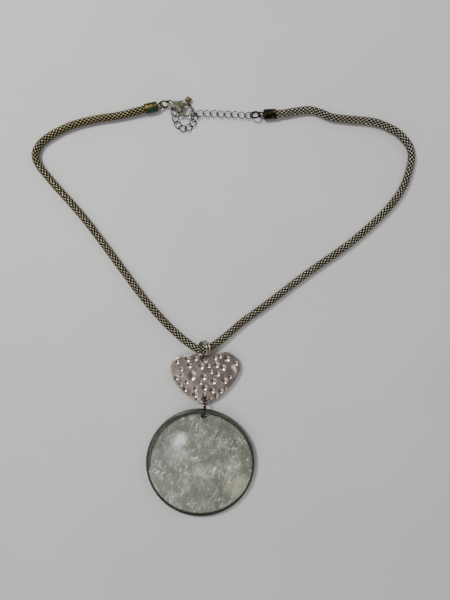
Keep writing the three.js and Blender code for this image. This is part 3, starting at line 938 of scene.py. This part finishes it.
# each dent's x, y and radius
heartDents = [
    (-8.0, 8.6, 1.0), (-4.3, 8.9, 0.8), (-12.8, 7.4, 0.8), (-7.2, 5.8, 1.0), (-1.7, 5.4, 1.1),
    (1.5, 5.6, 0.8),
    (5.1, 6.0, 1.2), (10.0, 8.8, 1.1), (8.1, 4.8, 1.2), (14.1, 6.7, 0.9), (2.7, 2.8, 0.8), (5.8, 1.8, 0.9),
    (-0.7, 0.5, 1.2), (-13.1, 0.1, 1.0), (3.8, -1.5, 1.1), (8.8, -1.3, 1.3), (-2.2, -2.2, 0.6),
    (-11.1, -2.9, 0.7),
    (-9.1, -5.1, 1.0), (-4.3, -4.9, 0.9), (-0.2, -4.4, 1.1), (3.2, -5.7, 1.1), (7.1, -6.0, 1.0),
    (9.4, -5.0, 0.6),
    (-4.6, -7.7, 1.1), (-0.5, -7.4, 0.7), (5.1, -8.2, 0.9), (2.4, -9.6, 0.6), (-3.7, -9.7, 0.7),
    (6.9, 9.9, 0.6),
    (-10.8, 4.1, 0.7), (-8.3, -1.7, 0.8), (11.4, 0.4, 0.7), (-10.6, 1.4, 0.6), (4.6, 9.3, 0.7),
]
heartHollows = [(12.3, 3.0, 3.0), (-5.9, 1.2, 2.4)]


def heartRelief(x, y):
    # height in millimetres over the flat face, and how deep in a dent each point is
    height = 0.05 * np.sin(0.55 * x + 0.8) * np.sin(0.6 * y) + 0.03 * np.sin(1.3 * x - 0.9 * y)
    pit = np.zeros_like(x)
    for a, b, size in heartDents:
        d = np.hypot(x - a, y - b) / (1.25 * size)
        bowl = np.clip(1 - d**2, 0, None) ** 1.4
        height -= dentDepth * min(size, 1.1) * bowl
        height += dentLip * np.exp(-(((d - 1.12) / 0.2) ** 2))
        pit = np.maximum(pit, bowl)
    for a, b, size in heartHollows:
        d = np.hypot((x - a) * 1.25, y - b) / size
        bowl = np.clip(1 - d**2, 0, None) ** 1.2
        height -= hollowDepth * bowl
        pit = np.maximum(pit, 0.5 * bowl)
    for a, b, size in heartHoles:
        d = np.hypot(x - a, y - b)
        height *= 1 - 0.9 * np.exp(-((d / 3.0) ** 2))
        burr = 0.06 * np.exp(-(((d - size - 0.3) / 0.3) ** 2))
        worn = 0.25 * np.exp(-(((d - size) / 0.18) ** 2))
        height += burr - worn
    return height, pit


def hammeredHeart(facts):
    outline = smoothRoute(heartOutline, 60, closed=True)[:, :2]
    turns = np.linspace(0, len(outline), facts["spokes"], endpoint=False).astype(int)
    outline = outline[turns]
    rings = facts["rings"]
    reach = np.concatenate([np.linspace(0.012, 0.965, rings), [0.975, 0.985, 0.993, 0.998]])
    fall = np.concatenate([np.zeros(rings), [0.02, 0.07, 0.16, 0.28]])
    layers, pits = [], []
    top = facts["bottom"] + facts["thickness"]
    for share, drop in zip(reach, fall):
        x, y = (outline * share).T
        height, pit = heartRelief(x, y)
        fade = np.clip((1.0 - share) / 0.03, 0, 1)
        z = top - facts["skin"] + height * fade + facts["crown"] * (1 - share**2) - drop
        layers.append(np.column_stack([x, y, z]))
        pits.append(pit * fade)
    for share, z in ((1.0, 3.0), (1.0, 2.75), (0.997, 2.6), (0.99, 2.48), (0.975, 2.42)):
        layers.append(np.column_stack([*(outline * share).T, np.full(len(outline), z)]))
        pits.append(np.zeros(len(outline)))
    for share in np.linspace(0.95, 0.02, 40):
        x, y = (outline * share).T
        height, _ = heartRelief(-x, y)
        layers.append(np.column_stack([x, y, facts["bottom"] + 0.02 + 0.12 * np.clip(-height, 0, 0.4)]))
        pits.append(np.zeros(len(outline)))
    count = len(outline)
    verts = np.vstack(layers)
    faces = []
    for i in range(len(layers) - 1):
        for k in range(count):
            m = (k + 1) % count
            faces.append((i * count + k, i * count + m, (i + 1) * count + m, (i + 1) * count + k))
    faces.append(tuple(range(count)))
    faces.append(tuple((len(layers) - 1) * count + k for k in range(count))[::-1])
    matrix = placing((facts["x"], facts["y"], 0), (0, 0, 0))
    piece = faceOut(buildMesh("hammeredHeart", moved(matrix, verts), faces, {"pit": np.concatenate(pits)}))
    drilled(piece, matrix, heartHoles)
    piece.data.shade_smooth()
    sharpen(finishPiece(piece, heartMetal, "heart", ["heart_plate"]), 55)


hammeredHeart(heart)
print("hammered heart made")


# shell disc: olive resin base, shell leaf and clear face, set down on its lower edge
disc = {"x": -4.6, "y": -71.3, "tilt": 2.3, "fullRadius": 25, "radius": 24.96, "hole": (1.9, 22.5, 1.66)}
# how far the shell leaf reaches, by clock position
leafReach = {
    12: 22.7, 1: 22.9, 2: 23.4, 3: 23.8, 4: 24.0, 5: 23.5, 6: 23.2, 7: 23.5, 8: 23.9, 8.7: 23.9, 8.9: 22.7,
    10: 22.3, 11: 22.4,
}
leafHole = 1.75  # a little wider than the hole in the resin
leafHeight, leafEdge, leafRipple = 2.47, 2.32, 0.035
# profiles of height above the underside and radius
baseProfile = [
    (0, 0), (0, 8), (0, 16), (0, 24.1), (0.1, 24.55), (0.34, 24.84), (0.7, disc["radius"]),
    (1.6, disc["radius"]), (2.45, disc["radius"]), (2.78, 24.86), (2.97, 24.7), (3.05, 24.48), (3.02, 24.28),
    (2.86, 24.2), (2.3, 24.18), (2.3, 16), (2.3, 8), (2.3, 0),
]
domeUnderside = [(2.56, 0), (2.56, 8), (2.56, 16), (2.56, 24.0), (2.6, 24.12), (3.0, 24.16)]
domeRadii = (24.0, 23.0, 21.0, 18.0, 14.0, 10.0, 6.0, 3.0, 0.0)
domeTop = [(3.04 + 0.85 * (1 - (r / 24.1) ** 2), r) for r in domeRadii]


def aboutZ(form):
    # a form turned about X, stood up to be about Z
    verts, faces = form
    return np.column_stack([verts[:, 2], verts[:, 1], verts[:, 0]]), faces


def shellLeaf(matrix):
    spokes, rings = 360, 90
    angle = np.linspace(0, 2 * math.pi, spokes, endpoint=False)
    clock = (3 - np.degrees(angle) / 30) % 12
    hours = sorted((h % 12, r) for h, r in leafReach.items())
    reach = np.interp(clock, [h for h, _ in hours] + [12], [r for _, r in hours] + [hours[0][1]])
    layers = []
    for share in np.linspace(0.01, 1, rings):
        x, y = share * reach * np.cos(angle), share * reach * np.sin(angle)
        ripple = np.sin(1.1 * x + 0.35 * y + 1.6 * np.sin(0.23 * y))
        ripple *= np.sin(0.5 * y - 0.2 * x + 1.3 * np.sin(0.31 * x))
        layers.append(np.column_stack([x, y, leafHeight + leafRipple * ripple]))
    layers.append(np.column_stack([reach * np.cos(angle), reach * np.sin(angle), np.full(spokes, leafEdge)]))
    verts = np.vstack(layers)
    faces = [tuple(range(spokes))]
    for i in range(len(layers) - 1):
        for k in range(spokes):
            m = (k + 1) % spokes
            faces.append((i * spokes + k, i * spokes + m, (i + 1) * spokes + m, (i + 1) * spokes + k))
    faces.append(tuple((len(layers) - 1) * spokes + k for k in range(spokes))[::-1])
    return faceOut(buildMesh("shellLeaf", moved(matrix, verts), faces))


def shellDisc(facts):
    height = facts["fullRadius"] * math.sin(math.radians(facts["tilt"]))
    matrix = placing((facts["x"], facts["y"], height), (facts["tilt"], 0, 0))
    verts, faces = aboutZ(turnedForm(baseProfile, 180))
    body = faceOut(buildMesh("resinBase", moved(matrix, verts), faces))
    drilled(body, matrix, [facts["hole"]])
    body.data.shade_smooth()
    sharpen(finishPiece(body, oliveResin, "shell_disc", ["disc_backing"]), 35)
    x, y, _ = facts["hole"]
    leaf = drilled(shellLeaf(matrix), matrix, [(x, y, leafHole)])
    leaf.data.shade_smooth()
    sharpen(finishPiece(leaf, pearlLeaf, "shell_disc", ["shell_inlay"]), 35)
    verts, faces = aboutZ(turnedForm(domeUnderside + domeTop, 180))
    cover = faceOut(buildMesh("resinDome", moved(matrix, verts), faces))
    drilled(cover, matrix, [facts["hole"]])
    cover.data.shade_smooth()
    sharpen(finishPiece(cover, clearResin, "shell_disc", ["clear_dome"]), 35)


shellDisc(disc)
print("shell disc made")


# table top, a hair under the necklace; half its side and the drop in metres
table = {"half": 6.0, "drop": 0.00003}
tableMesh = bpy.data.meshes.new("tableTop")
corners = [
    (x * table["half"], y * table["half"], -table["drop"]) for x, y in ((-1, -1), (1, -1), (1, 1), (-1, 1))
]
tableMesh.from_pydata(corners, [], [(0, 1, 2, 3)])
tableTop = bpy.data.objects.new("tableTop", tableMesh)
tableMesh.materials.append(tablePaint)
scene.collection.objects.link(tableTop)

# places and sizes in metres, power in watts
softLights = {
    "windowLight": {"place": (-0.26, 0.24, 0.52), "size": 0.14, "power": 3.5, "colour": "#fffefb"},
    "ceilingLight": {"place": (-0.30, -0.42, 0.62), "size": 0.55, "power": 1.8, "colour": "#ffffff"},
    "sideLight": {"place": (0.46, 0.50, 0.50), "size": 0.60, "power": 2.3, "colour": "#fbfcff"},
}
for name, facts in softLights.items():
    data = bpy.data.lights.new(name, "AREA")
    data.size, data.energy = facts["size"], facts["power"]
    data.color = linearColour(facts["colour"])[:3]
    lamp = bpy.data.objects.new(name, data)
    lamp.location = facts["place"]
    lamp.rotation_euler = (Vector((0, -0.02, 0)) - Vector(facts["place"])).to_track_quat("-Z", "Y").to_euler()
    scene.collection.objects.link(lamp)
room = {"colour": "#f1f2f4", "strength": 0.28}
world = bpy.data.worlds.new("softRoom")
world.use_nodes = True
background = world.node_tree.nodes["Background"]
background.inputs["Color"].default_value = linearColour(room["colour"])
background.inputs["Strength"].default_value = room["strength"]
scene.world = world
print("table and light made")
